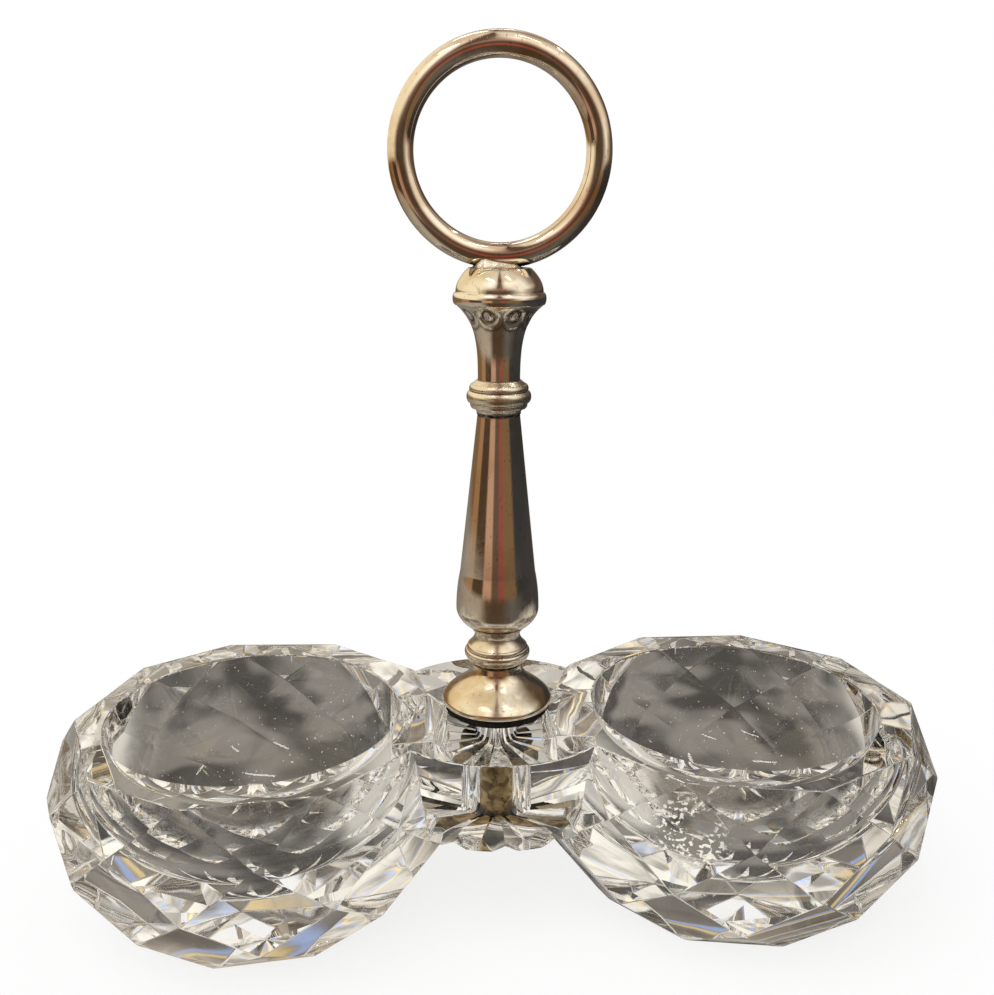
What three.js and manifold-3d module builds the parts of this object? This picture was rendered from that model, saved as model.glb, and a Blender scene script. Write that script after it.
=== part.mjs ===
// Double salt cellar: one piece of cut crystal with two bowls and a round hub between them,
// and a turned silver handle that is clamped on the hub and ends in a finger ring.
// Millimetres, +Z up. The origin is on the table under the middle of the hub, and the bowls lie
// along X.

import * as THREE from 'three';
import { ConvexGeometry } from 'three/addons/geometries/ConvexGeometry.js';
import { mergeVertices } from 'three/addons/utils/BufferGeometryUtils.js';
import Module from 'manifold-3d';

// Bowls: their height, the gap between their girdles, how far each one's facets are turned from
// the line to the hub, and which columns of facets were cut deeper
const rimHeight = 32.4;
const bowlGap = 13.3;
const bowls = [
  { side: -1, turn: THREE.MathUtils.degToRad(2.8), deepColumns: [3, 4] },
  { side: 1, turn: THREE.MathUtils.degToRad(4.7), deepColumns: [] },
];
const deepCut = { crown: 1.6, middle: 0.5 };

// Inside of a bowl: a superellipse turned about the bowl's axis
const mouthRadius = 24.2;
const cavityDepth = 21.5;
const cavityRoundness = 2.6;

// Outside of a bowl: rows of flat facets between rings of corners, going down from the rim. A
// drop is measured down from the rim. Even columns go round, and one wider column faces the hub.
const columnCount = 8;
const columnStep = THREE.MathUtils.degToRad(37.9);
const girdleRadius = 34.35;
const rimDraw = 3.25;
const girdleDrop = 8.3;
const waistDrop = 17.5;
const kneeDrop = 25.6;

// Star cut under each bowl, inside the flat ring that the bowl stands on
const star = { rays: 16, margin: 3.6, halfWidth: 3.5, depth: 2.2 };

// Hub between the bowls, with long petals cut underneath that leave thin webs between them
const hub = { radius: 20.9, thickness: 15 };
const petal = { count: 16, web: 0.25, peakShare: 0.72, depth: 1.5, endHalfWidth: 2.1, endDepth: 1 };

// Stud through the hub, with a shoulder in the foot and a thinner rod up into the capital
const stud = { radius: 2.9, rodRadius: 1.75, chamfer: 0.5, tail: 1.4, shoulderHeight: 4.2 };
const rodReach = 10;
const holeClearance = 0.7;
const boreClearance = 0.3;
const endClearance = 0.6;

// Rings and nut that clamp the glass
const footGasket = { radius: 9, height: 1.6 };
const hubGasket = { radius: 6.1, height: 1.2 };
const hubWasher = { radius: 5.9, height: 0.8 };
const nut = { acrossFlats: 10, height: 4.2, chamfer: 0.5 };

// Foot: a thin rim and a hollow flare up to the neck. The curve's two control points are given as
// shares of the way out from neck to rim and of the way up from rim to neck.
const foot = { height: 6.9, rimRadius: 9.36, rimHeight: 0.85, rimDraft: 0.15, neckRadius: 4 };
const footCurve = { lowOut: 0.67, lowUp: 0.39, highOut: 0.05, highUp: 0.45 };

// Knop: a plain seat, a torus, a thin bead and a hollow moulding that opens again to a lip
const knop = {
  height: 6.8,
  seatRadius: 4.2,
  seatHeight: 0.3,
  torusRadius: 5.38,
  torusTop: 2.5,
  grooveRadius: 4.95,
  beadRadius: 5.05,
  beadTop: 3.25,
  hollowRadius: 4.75,
  waistRadius: 3.76,
  waistHeight: 4.85,
  lipRadius: 4.6,
  lipHeight: 0.35,
};

// Baluster: a rounded foot, a sharp edge, a shoulder and a long taper
const baluster = {
  height: 35.4,
  seatRadius: 5,
  footRadius: 6.05,
  footHeight: 0.8,
  edgeRadius: 6.6,
  edgeHeight: 1.9,
  shoulderRadius: 6.84,
  shoulderHeight: 3,
  taperRadius: 6.17,
  taperHeight: 9.4,
  topRadius: 3.36,
};

// Collar: a hollow that opens to a thin bead, then a torus and an upper bead
const collar = {
  height: 5.3,
  seatRadius: 3.5,
  hollowRadius: 4.25,
  hollowHeight: 0.95,
  thinRadius: 4.5,
  thinTop: 1.75,
  grooveRadius: 4.45,
  torusRadius: 5.1,
  torusTop: 3.7,
  beadRadius: 4.65,
  beadTopRadius: 4.25,
  beadTop: 4.7,
  topRadius: 3.5,
};

// Capital: a waisted neck that flares to a bead, and a dome under the ring
// Its flare's upper control point is given as shares of the way out and of the way up.
const capital = {
  height: 17,
  neckRadius: 3.31,
  neckHeight: 5,
  flareRadius: 6.73,
  flareTop: 11.5,
  beadRadius: 7.2,
  beadTop: 13.4,
  domeRadius: 6.75,
  domeTopRadius: 5,
};
const flareLean = { out: 0.08, up: 0.64 };
const saddle = { height: 0.9, inset: 0.45, draft: 0.3, gap: 0.3 };

// Lappets: round dishes cut in the flare under the bead, each with a small egg in it
const lappet = { count: 8, share: 0.82 };
const dish = { radius: 1.9, depth: 0.3 };
const egg = { radius: 0.95, rise: 0.4 };

// Finger ring, bent from round bar, with its lowest side just under the capital's top
const ring = { radius: 14.7, barRadius: 1.93, sink: 0.15 };

// Fineness of the round surfaces
const glassSides = 72;
const cavitySteps = 10;
const turnedSides = 36;
const curveSteps = 4;
const footSteps = 8;
const rodSides = 24;
const ringSides = 52;
const barSides = 14;
const dishSides = 12;
const eggRows = 6;
const cutMargin = 1;

// Distance between the bowls' axes, and how far the corners of a rim lie from its bowl's axis
const bowlSpacing = 2 * girdleRadius + bowlGap;
const rimCornerRadius = girdleRadius - rimDraw;

// Heights of the stack above the table
const hubBottom = rimHeight - hub.thickness;
const footBase = rimHeight + footGasket.height;
const knopBase = footBase + foot.height;
const balusterBase = knopBase + knop.height;
const collarBase = balusterBase + baluster.height;
const capitalBase = collarBase + collar.height;
const capitalTop = capitalBase + capital.height;
const ringCentre = capitalTop - ring.sink + ring.barRadius + ring.radius;
const washerTop = hubBottom - hubGasket.height;
const nutTop = washerTop - hubWasher.height;
const studBottom = nutTop - nut.height - stud.tail;

const studBore = stud.radius + boreClearance;
const rodBore = stud.rodRadius + boreClearance;

const wasm = await Module();
wasm.setup();

function volumeOf(geometry) {
  const place = geometry.attributes.position;
  const index = geometry.index.array;
  const [a, b, c] = [new THREE.Vector3(), new THREE.Vector3(), new THREE.Vector3()];
  let sum = 0;
  for (let i = 0; i < index.length; i += 3) {
    a.fromBufferAttribute(place, index[i]);
    b.fromBufferAttribute(place, index[i + 1]);
    c.fromBufferAttribute(place, index[i + 2]);
    sum += a.dot(b.cross(c)) / 6;
  }
  return sum;
}

// One closed skin: vertices that share a place become one, triangles that have no area left are
// dropped, and the faces point out.
function sealed(geometry) {
  const bare = geometry.clone();
  for (const name of Object.keys(bare.attributes)) {
    if (name !== 'position') bare.deleteAttribute(name);
  }
  const merged = mergeVertices(bare, 1e-4);
  const old = merged.index.array;
  const kept = [];
  for (let i = 0; i < old.length; i += 3) {
    const [a, b, c] = old.subarray(i, i + 3);
    if (a !== b && b !== c && c !== a) kept.push([a, b, c]);
  }
  merged.setIndex(kept.flat());
  if (volumeOf(merged) < 0) merged.setIndex(kept.map(([a, b, c]) => [a, c, b]).flat());
  merged.computeVertexNormals();
  return merged;
}

function toSolid(geometry) {
  const skin = sealed(geometry);
  return new wasm.Manifold(new wasm.Mesh({
    numProp: 3,
    vertProperties: new Float32Array(skin.attributes.position.array),
    triVerts: new Uint32Array(skin.index.array),
  }));
}

function toGeometry(solid) {
  const mesh = solid.getMesh();
  const geometry = new THREE.BufferGeometry();
  geometry.setAttribute('position', new THREE.BufferAttribute(mesh.vertProperties, 3));
  geometry.setIndex(new THREE.BufferAttribute(mesh.triVerts, 1));
  return sealed(geometry);
}

// Copies of a geometry spread evenly about Z, joined in one solid.
function spread(geometry, count, firstAngle) {
  let joined = toSolid(geometry.clone().rotateZ(firstAngle));
  for (let i = 1; i < count; i += 1) {
    joined = joined.add(toSolid(geometry.clone().rotateZ(firstAngle + (i * 2 * Math.PI) / count)));
  }
  return joined;
}

// An outline of points, each a radius and a height, turned about Z.
function turned(outline, sides) {
  const points = outline.map(([radius, height]) => new THREE.Vector2(radius, height));
  return new THREE.LatheGeometry(points, sides).rotateX(Math.PI / 2);
}

// The outer path of a turned piece, closed by a bore along its axis.
function turnedWithBore(path, bore) {
  const outer = path.getPoints(curveSteps).map(({ x, y }) => [x, y]);
  const [bottom, top] = [outer[0][1], outer[outer.length - 1][1]];
  return turned([[bore, bottom], ...outer, [bore, top], [bore, bottom]], turnedSides);
}

function cylinder(radius, bottom, top, sides) {
  return turned([[0, bottom], [radius, bottom], [radius, top], [0, top]], sides);
}

function tube(inner, outer, height) {
  return turned([[inner, 0], [outer, 0], [outer, height], [inner, height], [inner, 0]], turnedSides);
}

// A rounded moulding from where the path stands up to an end, bulging out to about its peak.
function bulge(path, peakRadius, endRadius, endHeight) {
  const { x, y } = path.currentPoint;
  const reach = ((peakRadius - (x + endRadius) / 2) * 4) / 3;
  path.bezierCurveTo(x + reach, y, endRadius + reach, endHeight, endRadius, endHeight);
}

// Where three planes meet, each given as a normal and a distance.
function meeting(p, q, r) {
  const qr = q.normal.clone().cross(r.normal);
  const scale = p.normal.dot(qr);
  if (Math.abs(scale) < 1e-9) return null;
  const rp = r.normal.clone().cross(p.normal).multiplyScalar(q.distance);
  const pq = p.normal.clone().cross(q.normal).multiplyScalar(r.distance);
  return qr.multiplyScalar(p.distance).add(rp).add(pq).divideScalar(scale);
}

// The convex block that lies behind all the planes.
function behind(planes) {
  const corners = [];
  for (let i = 0; i < planes.length; i += 1) {
    for (let j = i + 1; j < planes.length; j += 1) {
      for (let k = j + 1; k < planes.length; k += 1) {
        const corner = meeting(planes[i], planes[j], planes[k]);
        const holds = corner && planes.every((p) => p.normal.dot(corner) < p.distance + 1e-6);
        if (holds && corners.every((c) => c.distanceTo(corner) > 1e-4)) corners.push(corner);
      }
    }
  }
  return new ConvexGeometry(corners);
}

// The slant of a facet: its distance from the bowl's axis is a straight line over its drop.
function slant([radiusA, dropA], [radiusB, dropB]) {
  const slope = (radiusB - radiusA) / (dropB - dropA);
  return { slope, at: (drop) => radiusA + slope * (drop - dropA) };
}

function facet({ slope, at }, angle, deeper = 0) {
  return {
    normal: new THREE.Vector3(Math.cos(angle), Math.sin(angle), slope),
    distance: at(rimHeight) - deeper,
  };
}

// Five rows of facets, each a diamond with its corners on the rows above and below. Corners lie
// on every other row's column lines, so between them a facet is closer to the axis by this share.
const inset = Math.cos(columnStep / 2);
const crownRow = slant([rimCornerRadius * inset, 0], [girdleRadius, girdleDrop]);
const upperRow = slant([rimCornerRadius, 0], [girdleRadius * inset, girdleDrop]);
const middleRow = slant([girdleRadius, girdleDrop], [upperRow.at(waistDrop) * inset, waistDrop]);
const lowerRow = slant(
  [upperRow.at(waistDrop), waistDrop], [middleRow.at(kneeDrop) * inset, kneeDrop]);
const footRow = slant(
  [middleRow.at(kneeDrop), kneeDrop], [lowerRow.at(rimHeight) * inset, rimHeight]);

function bowlOutside({ turn, deepColumns }) {
  const wideColumn = 2 * Math.PI - columnCount * columnStep;
  const planes = [
    { normal: new THREE.Vector3(0, 0, 1), distance: rimHeight },
    { normal: new THREE.Vector3(0, 0, -1), distance: 0 },
  ];
  for (let i = 0; i <= columnCount; i += 1) {
    const edge = turn + wideColumn / 2 + i * columnStep;
    const middle = i < columnCount ? edge + columnStep / 2 : turn;
    const isDeep = deepColumns.includes(i);
    for (const row of [upperRow, lowerRow]) planes.push(facet(row, edge));
    planes.push(facet(crownRow, middle, isDeep ? deepCut.crown : 0));
    planes.push(facet(middleRow, middle, isDeep ? deepCut.middle : 0));
    planes.push(facet(footRow, middle));
  }
  return behind(planes);
}

function bowlInside() {
  const outline = [];
  for (let i = 0; i <= cavitySteps; i += 1) {
    const angle = (i / cavitySteps) * (Math.PI / 2);
    const radius = mouthRadius * Math.sin(angle) ** (2 / cavityRoundness);
    const drop = cavityDepth * Math.cos(angle) ** (2 / cavityRoundness);
    outline.push([radius, rimHeight - (i < cavitySteps ? drop : 0)]);
  }
  outline.push([mouthRadius, rimHeight + cutMargin], [0, rimHeight + cutMargin]);
  return turned(outline, glassSides);
}

// A groove of V section cut upwards in a flat underside. Each station along X has its distance,
// its half width and its depth.
function groove(stations) {
  const corners = [];
  for (const [x, halfWidth, depth] of stations) {
    for (const y of [-halfWidth, halfWidth]) {
      corners.push(new THREE.Vector3(x, y, 0), new THREE.Vector3(x, y, -cutMargin));
    }
    corners.push(new THREE.Vector3(x, 0, depth));
  }
  return new ConvexGeometry(corners);
}

function starCut() {
  const tip = footRow.at(rimHeight) - star.margin;
  return spread(groove([[0, star.halfWidth, star.depth], [tip, 0, 0]]), star.rays, 0);
}

// Each petal starts where the webs on its two sides meet and is widest at its peak.
function petalCut() {
  const spreadRate = Math.tan(Math.PI / petal.count);
  const start = petal.web / 2 / spreadRate;
  const peak = hub.radius * petal.peakShare;
  const stations = [
    [start, 0, 0],
    [peak, (peak - start) * spreadRate, petal.depth],
    [hub.radius + cutMargin, petal.endHalfWidth, petal.endDepth],
  ];
  return spread(groove(stations), petal.count, -Math.PI / 2).translate([0, 0, hubBottom]);
}

function glassBody() {
  const blank = cylinder(hub.radius, hubBottom, rimHeight, glassSides);
  let body = toSolid(blank).subtract(petalCut());
  for (const bowl of bowls) {
    const place = (bowl.side * bowlSpacing) / 2;
    const outside = bowlOutside(bowl).scale(-bowl.side, 1, 1).translate(place, 0, 0);
    body = body.add(toSolid(outside));
    body = body.subtract(toSolid(bowlInside().translate(place, 0, 0)));
    body = body.subtract(starCut().translate([place, 0, 0]));
  }
  const hole = cylinder(stud.radius + holeClearance, 0, rimHeight + cutMargin, rodSides);
  return toGeometry(body.subtract(toSolid(hole)));
}

function tieStud() {
  const shoulder = footBase + stud.shoulderHeight - studBottom;
  const top = capitalBase + rodReach - studBottom;
  return turned([
    [0, 0],
    [stud.radius - stud.chamfer, 0],
    [stud.radius, stud.chamfer],
    [stud.radius, shoulder],
    [stud.rodRadius, shoulder],
    [stud.rodRadius, top],
    [0, top],
  ], rodSides);
}

function clampNut() {
  const cornerRadius = nut.acrossFlats / 2 / Math.cos(Math.PI / 6);
  const faceRadius = cornerRadius - nut.chamfer * 2;
  const prism = cylinder(cornerRadius, 0, nut.height, 6);
  const rounding = turned([
    [0, 0],
    [faceRadius, 0],
    [cornerRadius, nut.chamfer],
    [cornerRadius, nut.height - nut.chamfer],
    [faceRadius, nut.height],
    [0, nut.height],
  ], turnedSides);
  const bore = cylinder(studBore, -cutMargin, nut.height + cutMargin, rodSides);
  return toGeometry(toSolid(prism).intersect(toSolid(rounding)).subtract(toSolid(bore)));
}

// The wide bore takes the stud's shoulder, and the narrow bore above it takes the rod.
function footFlange() {
  const { height, rimRadius, neckRadius } = foot;
  const path = new THREE.Path();
  path.moveTo(rimRadius - foot.rimDraft, 0);
  path.lineTo(rimRadius, foot.rimHeight / 2);
  path.lineTo(rimRadius - foot.rimDraft, foot.rimHeight);
  const run = rimRadius - neckRadius;
  const rise = height - foot.rimHeight;
  path.bezierCurveTo(
    neckRadius + run * footCurve.lowOut, foot.rimHeight + rise * footCurve.lowUp,
    neckRadius + run * footCurve.highOut, foot.rimHeight + rise * footCurve.highUp,
    neckRadius, height);
  const outer = path.getPoints(footSteps).map(({ x, y }) => [x, y]);
  const shoulder = stud.shoulderHeight + boreClearance;
  return turned([
    [studBore, 0],
    ...outer,
    [rodBore, height],
    [rodBore, shoulder],
    [studBore, shoulder],
    [studBore, 0],
  ], turnedSides);
}

function baseKnop() {
  const path = new THREE.Path();
  path.moveTo(knop.seatRadius, 0);
  path.lineTo(knop.seatRadius, knop.seatHeight);
  bulge(path, knop.torusRadius, knop.grooveRadius, knop.torusTop);
  bulge(path, knop.beadRadius, knop.hollowRadius, knop.beadTop);
  const hollowStart = knop.hollowRadius - knop.waistRadius;
  path.quadraticCurveTo(
    knop.waistRadius + hollowStart / 4, (knop.beadTop + knop.waistHeight) / 2,
    knop.waistRadius, knop.waistHeight);
  const lipBase = knop.height - knop.lipHeight;
  path.quadraticCurveTo(
    knop.waistRadius, (knop.waistHeight + lipBase) / 2, knop.lipRadius, lipBase);
  path.lineTo(knop.lipRadius, knop.height);
  return turnedWithBore(path, rodBore);
}

function balusterStem() {
  const path = new THREE.Path();
  path.moveTo(baluster.seatRadius, 0);
  path.quadraticCurveTo(
    baluster.footRadius, baluster.footHeight, baluster.edgeRadius, baluster.edgeHeight);
  path.quadraticCurveTo(
    baluster.shoulderRadius, (baluster.edgeHeight + baluster.shoulderHeight) / 2,
    baluster.shoulderRadius, baluster.shoulderHeight);
  path.quadraticCurveTo(
    baluster.shoulderRadius, (baluster.shoulderHeight + baluster.taperHeight) / 2,
    baluster.taperRadius, baluster.taperHeight);
  path.lineTo(baluster.topRadius, baluster.height);
  return turnedWithBore(path, rodBore);
}

function stemCollar() {
  const path = new THREE.Path();
  path.moveTo(collar.seatRadius, 0);
  path.quadraticCurveTo(
    collar.seatRadius, collar.hollowHeight, collar.hollowRadius, collar.hollowHeight);
  bulge(path, collar.thinRadius, collar.grooveRadius, collar.thinTop);
  bulge(path, collar.torusRadius, collar.grooveRadius, collar.torusTop);
  bulge(path, collar.beadRadius, collar.beadTopRadius, collar.beadTop);
  path.lineTo(collar.topRadius, collar.height);
  return turnedWithBore(path, rodBore);
}

// The flare of the capital's neck, as the control points of one curve from its foot.
const flareSpread = capital.flareRadius - capital.neckRadius;
const flareRise = capital.flareTop - capital.neckHeight;
const flare = new THREE.CubicBezierCurve(
  new THREE.Vector2(capital.neckRadius, 0),
  new THREE.Vector2(capital.neckRadius, capital.neckHeight),
  new THREE.Vector2(
    capital.neckRadius + flareSpread * flareLean.out, capital.neckHeight + flareRise * flareLean.up),
  new THREE.Vector2(capital.flareRadius, capital.flareTop));

function capitalBlank() {
  const path = new THREE.Path();
  path.moveTo(flare.v0.x, flare.v0.y);
  path.bezierCurveTo(flare.v1.x, flare.v1.y, flare.v2.x, flare.v2.y, flare.v3.x, flare.v3.y);
  bulge(path, capital.beadRadius, capital.domeRadius, capital.beadTop);
  path.quadraticCurveTo(
    capital.domeRadius, (capital.beadTop + capital.height) / 2,
    capital.domeTopRadius, capital.height);
  const saddleRadius = capital.domeTopRadius - saddle.inset;
  path.lineTo(saddleRadius, capital.height);
  path.lineTo(saddleRadius - saddle.draft, capital.height + saddle.height);
  const outer = path.getPoints(curveSteps).map(({ x, y }) => [x, y]);
  const boreTop = rodReach + endClearance;
  return turned([
    [0, boreTop],
    [rodBore, boreTop],
    [rodBore, 0],
    ...outer,
    [0, capital.height + saddle.height],
  ], turnedSides);
}

// Moves a shape that stands on the XY plane onto the flare, square to its surface.
function ontoFlare(geometry) {
  const point = flare.getPoint(lappet.share);
  const tangent = flare.getTangent(lappet.share);
  const lean = Math.atan2(tangent.x, tangent.y);
  return geometry.rotateY(Math.PI / 2 + lean).translate(point.x, 0, point.y);
}

function ringBar(extra) {
  return new THREE.TorusGeometry(ring.radius, ring.barRadius + extra, barSides, ringSides)
    .rotateX(Math.PI / 2);
}

// Each egg is a low dome on the floor of its dish.
function ringCapital() {
  const halfPitch = Math.PI / lappet.count;
  const dishes = ontoFlare(cylinder(dish.radius, -dish.depth, dish.radius, dishSides));
  const dome = new THREE.SphereGeometry(egg.radius, dishSides, eggRows)
    .rotateX(Math.PI / 2)
    .scale(1, 1, egg.rise / egg.radius)
    .translate(0, 0, -dish.depth);
  const seat = ringBar(saddle.gap).translate(0, 0, ringCentre - capitalBase);
  const solid = toSolid(capitalBlank())
    .subtract(spread(dishes, lappet.count, halfPitch))
    .add(spread(ontoFlare(dome), lappet.count, halfPitch))
    .subtract(toSolid(seat));
  return toGeometry(solid);
}

const glass = { color: 0xe4e8e3, roughness: 0.03, metalness: 0 };
const silver = { color: 0xb9ab97, roughness: 0.22, metalness: 1 };
const wornSilver = { color: 0xc3b18f, roughness: 0.3, metalness: 1 };
const brass = { color: 0x7a5f2c, roughness: 0.5, metalness: 1 };
const leather = { color: 0x29241f, roughness: 0.85, metalness: 0 };

const cellar = new THREE.Group();

function addPiece(name, geometry, look, height) {
  const mesh = new THREE.Mesh(sealed(geometry), new THREE.MeshStandardMaterial(look));
  mesh.name = name;
  mesh.position.z = height;
  cellar.add(mesh);
}

addPiece('glass_body', glassBody(), glass, 0);
addPiece('foot_gasket', tube(studBore, footGasket.radius, footGasket.height), leather, rimHeight);
addPiece('foot_flange', footFlange(), wornSilver, footBase);
addPiece('base_knop', baseKnop(), silver, knopBase);
addPiece('baluster', balusterStem(), silver, balusterBase);
addPiece('collar', stemCollar(), silver, collarBase);
addPiece('capital', ringCapital(), silver, capitalBase);
addPiece('finger_ring', ringBar(0), silver, ringCentre);
addPiece('tie_stud', tieStud(), brass, studBottom);
addPiece('hub_gasket', tube(studBore, hubGasket.radius, hubGasket.height), leather, washerTop);
addPiece('hub_washer', tube(studBore, hubWasher.radius, hubWasher.height), brass, nutTop);
addPiece('clamp_nut', clampNut(), brass, nutTop - nut.height);

export default cellar;
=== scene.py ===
# Double salt cellar: cut crystal bowls and hub with a silvered handle, seen as in the photograph.
# Shapes are worked out in millimetres and become metres when their mesh is made.

import itertools
import math
from random import Random

import bmesh
import bpy
from mathutils import Matrix, Vector

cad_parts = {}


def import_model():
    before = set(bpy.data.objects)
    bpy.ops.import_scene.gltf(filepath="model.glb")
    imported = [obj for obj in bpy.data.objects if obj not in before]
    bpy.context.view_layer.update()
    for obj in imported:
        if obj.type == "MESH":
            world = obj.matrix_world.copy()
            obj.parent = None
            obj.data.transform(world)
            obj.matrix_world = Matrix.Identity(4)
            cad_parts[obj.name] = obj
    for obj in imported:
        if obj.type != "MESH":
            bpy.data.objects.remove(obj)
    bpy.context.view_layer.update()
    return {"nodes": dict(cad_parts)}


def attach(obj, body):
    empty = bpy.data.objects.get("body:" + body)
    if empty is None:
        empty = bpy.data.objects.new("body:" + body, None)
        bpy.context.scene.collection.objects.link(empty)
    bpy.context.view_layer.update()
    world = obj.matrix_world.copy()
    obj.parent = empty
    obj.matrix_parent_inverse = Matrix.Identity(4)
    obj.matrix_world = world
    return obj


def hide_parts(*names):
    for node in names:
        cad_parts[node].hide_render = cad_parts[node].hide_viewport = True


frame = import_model()

MM = 0.001
DEG = math.pi / 180

# Glass
RIM_HEIGHT = 32.4
GIRDLE_RADIUS = 34.35
BOWL_GAP = 13.3
BOWL_SPACING = 2 * GIRDLE_RADIUS + BOWL_GAP
BOWLS = ((-1, 2.8 * DEG, (3, 4)), (1, 4.7 * DEG, ()))
DEEP_CUT = {"crown": 1.6, "middle": 0.5}
MOUTH_RADIUS = 24.2
CAVITY_DEPTH = 21.5
CAVITY_ROUNDNESS = 2.6
COLUMNS = 8
COLUMN_STEP = 37.9 * DEG
RIM_CORNER_RADIUS = 31.1
GIRDLE_DROP = 8.3
WAIST_DROP = 17.5
KNEE_DROP = 25.6
STAR = {"rays": 16, "margin": 3.6, "half_width": 3.5, "depth": 2.2}
HUB = {"radius": 20.9, "thickness": 15.0}
PETAL = {"count": 16, "web": 0.25, "peak": 0.72, "depth": 1.5, "end_half_width": 2.1, "end_depth": 1.0}
HOLE_RADIUS = 3.6
# The hub's top lies this much under the rims, too little to see, so that the union has no shared plane
HUB_STEP = 0.01
HUB_ROUND = 0.2
LIP = 0.25
FACET_BEVEL = 0.18

# Stack of metal pieces on the hub: each one's foot above the table
FOOT_BASE = 34.0
KNOP_BASE = 40.9
BALUSTER_BASE = 47.7
COLLAR_BASE = 83.1
CAPITAL_BASE = 88.4
CAPITAL_HEIGHT = 17.0
RING_RADIUS = 14.7
RING_BAR = 1.93
RING_SINK = 0.15
RING_CENTRE = CAPITAL_BASE + CAPITAL_HEIGHT - RING_SINK + RING_BAR + RING_RADIUS
ROD_BORE = 2.05
STUD_BORE = 3.2

# Fineness: sides of the round pieces and steps of the curves
TURNED_SIDES = 144
GLASS_SIDES = 168
HOLE_SIDES = 96
CAPITAL_SIDES = 288
RING_AROUND, RING_ACROSS = 160, 40
CURVE_STEPS = 14
CAVITY_STEPS = 56
FLARE_STEPS = 120
# A length that counts as none, a bend that counts as flat, and one that counts as a corner to soften
NOTHING = 1e-6
ONE_PLANE = 0.4 * DEG
CORNER = 20 * DEG
# Edges at more than these angles, in degrees, are shaded sharp
METAL_ANGLE, FACET_ANGLE, SOLDER_ANGLE, FRAYED_ANGLE = 30, 12, 60, 50


# Outlines

def cubic_at(t, corners):
    """The place at share t of the way along a curve with four control points."""
    weights = ((1 - t) ** 3, 3 * t * (1 - t) ** 2, 3 * t ** 2 * (1 - t), t ** 3)
    return tuple(sum(w * p[axis] for w, p in zip(weights, corners)) for axis in (0, 1))


class Outline:
    """Points of radius and height along the outside of a turned piece."""

    def __init__(self, radius, height):
        self.points = [(radius, height)]

    def to(self, radius, height):
        self.points.append((radius, height))
        return self

    def quad(self, bend, end):
        start = self.points[-1]
        for i in range(1, CURVE_STEPS + 1):
            t = i / CURVE_STEPS
            a, b, c = (1 - t) ** 2, 2 * t * (1 - t), t ** 2
            self.points.append(tuple(a * s + b * m + c * e for s, m, e in zip(start, bend, end)))
        return self

    def cubic(self, low, high, end):
        start = self.points[-1]
        for i in range(1, CURVE_STEPS + 1):
            self.points.append(cubic_at(i / CURVE_STEPS, (start, low, high, end)))
        return self

    def bulge(self, peak, radius, height):
        """A rounded moulding to a new point, which bulges out to about its peak radius."""
        start_radius, start_height = self.points[-1]
        reach = (peak - (start_radius + radius) / 2) * 4 / 3
        return self.cubic((start_radius + reach, start_height), (radius + reach, height), (radius, height))

    def closed(self, bore):
        bottom, top = self.points[0][1], self.points[-1][1]
        return [(bore, bottom)] + self.points + [(bore, top)]


def softened(points, size, closed):
    """The outline with a small round at every corner that turns enough."""
    out = []
    count = len(points)
    for i, here in enumerate(points):
        if not closed and i in (0, count - 1):
            out.append(here)
            continue
        before, after = Vector(points[i - 1]), Vector(points[(i + 1) % count])
        corner = Vector(here)
        back, ahead = before - corner, after - corner
        if min(back.length, ahead.length) < NOTHING or (-back).angle(ahead) < CORNER:
            out.append(here)
            continue
        step = min(size, back.length / 3, ahead.length / 3)
        start, end = corner + back.normalized() * step, corner + ahead.normalized() * step
        middle = (start + end) / 4 + corner / 2
        out += [tuple(start), tuple(middle), tuple(end)]
    return out


def supported(points, step=1.0, near_end=0.12):
    """The same closed outline with points along its straight runs, so that soft shading stays at corners."""
    out = []
    for here, ahead in zip(points, points[1:] + points[:1]):
        start, run = Vector(here), Vector(ahead) - Vector(here)
        out.append(here)
        if run.length < 5 * near_end:
            continue
        count = math.ceil(run.length / step)
        marks = [near_end / run.length] + [i / count for i in range(1, count)] + [1 - near_end / run.length]
        out += [tuple(start + run * mark) for mark in marks]
    return out


# Meshes

def shade(bm, smooth_angle):
    """Soft shading, with sharp edges where faces meet at more than the angle."""
    for face in bm.faces:
        face.smooth = True
    for edge in bm.edges:
        edge.smooth = len(edge.link_faces) == 2 and edge.calc_face_angle(0) < smooth_angle * DEG


def new_object(name, bm, smooth_angle=METAL_ANGLE):
    """The bmesh, in millimetres, as an object in metres with soft shading below the angle."""
    bmesh.ops.recalc_face_normals(bm, faces=bm.faces)
    bm.transform(Matrix.Scale(MM, 4))
    shade(bm, smooth_angle)
    mesh = bpy.data.meshes.new(name)
    bm.to_mesh(mesh)
    bm.free()
    thing = bpy.data.objects.new(name, mesh)
    bpy.context.scene.collection.objects.link(thing)
    return thing


def bridge(bm, rings, closed=False):
    """Faces from each ring to the next, and back to the first where closed. A ring may be one point."""
    for low, high in zip(rings, rings[1:] + rings[:1] if closed else rings[1:]):
        count = max(len(low), len(high))
        for i in range(count):
            j = (i + 1) % count
            corners = [low[i % len(low)], low[j % len(low)], high[j % len(high)], high[i % len(high)]]
            unique = list(dict.fromkeys(corners))
            if len(unique) > 2:
                bm.faces.new(unique)


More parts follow.
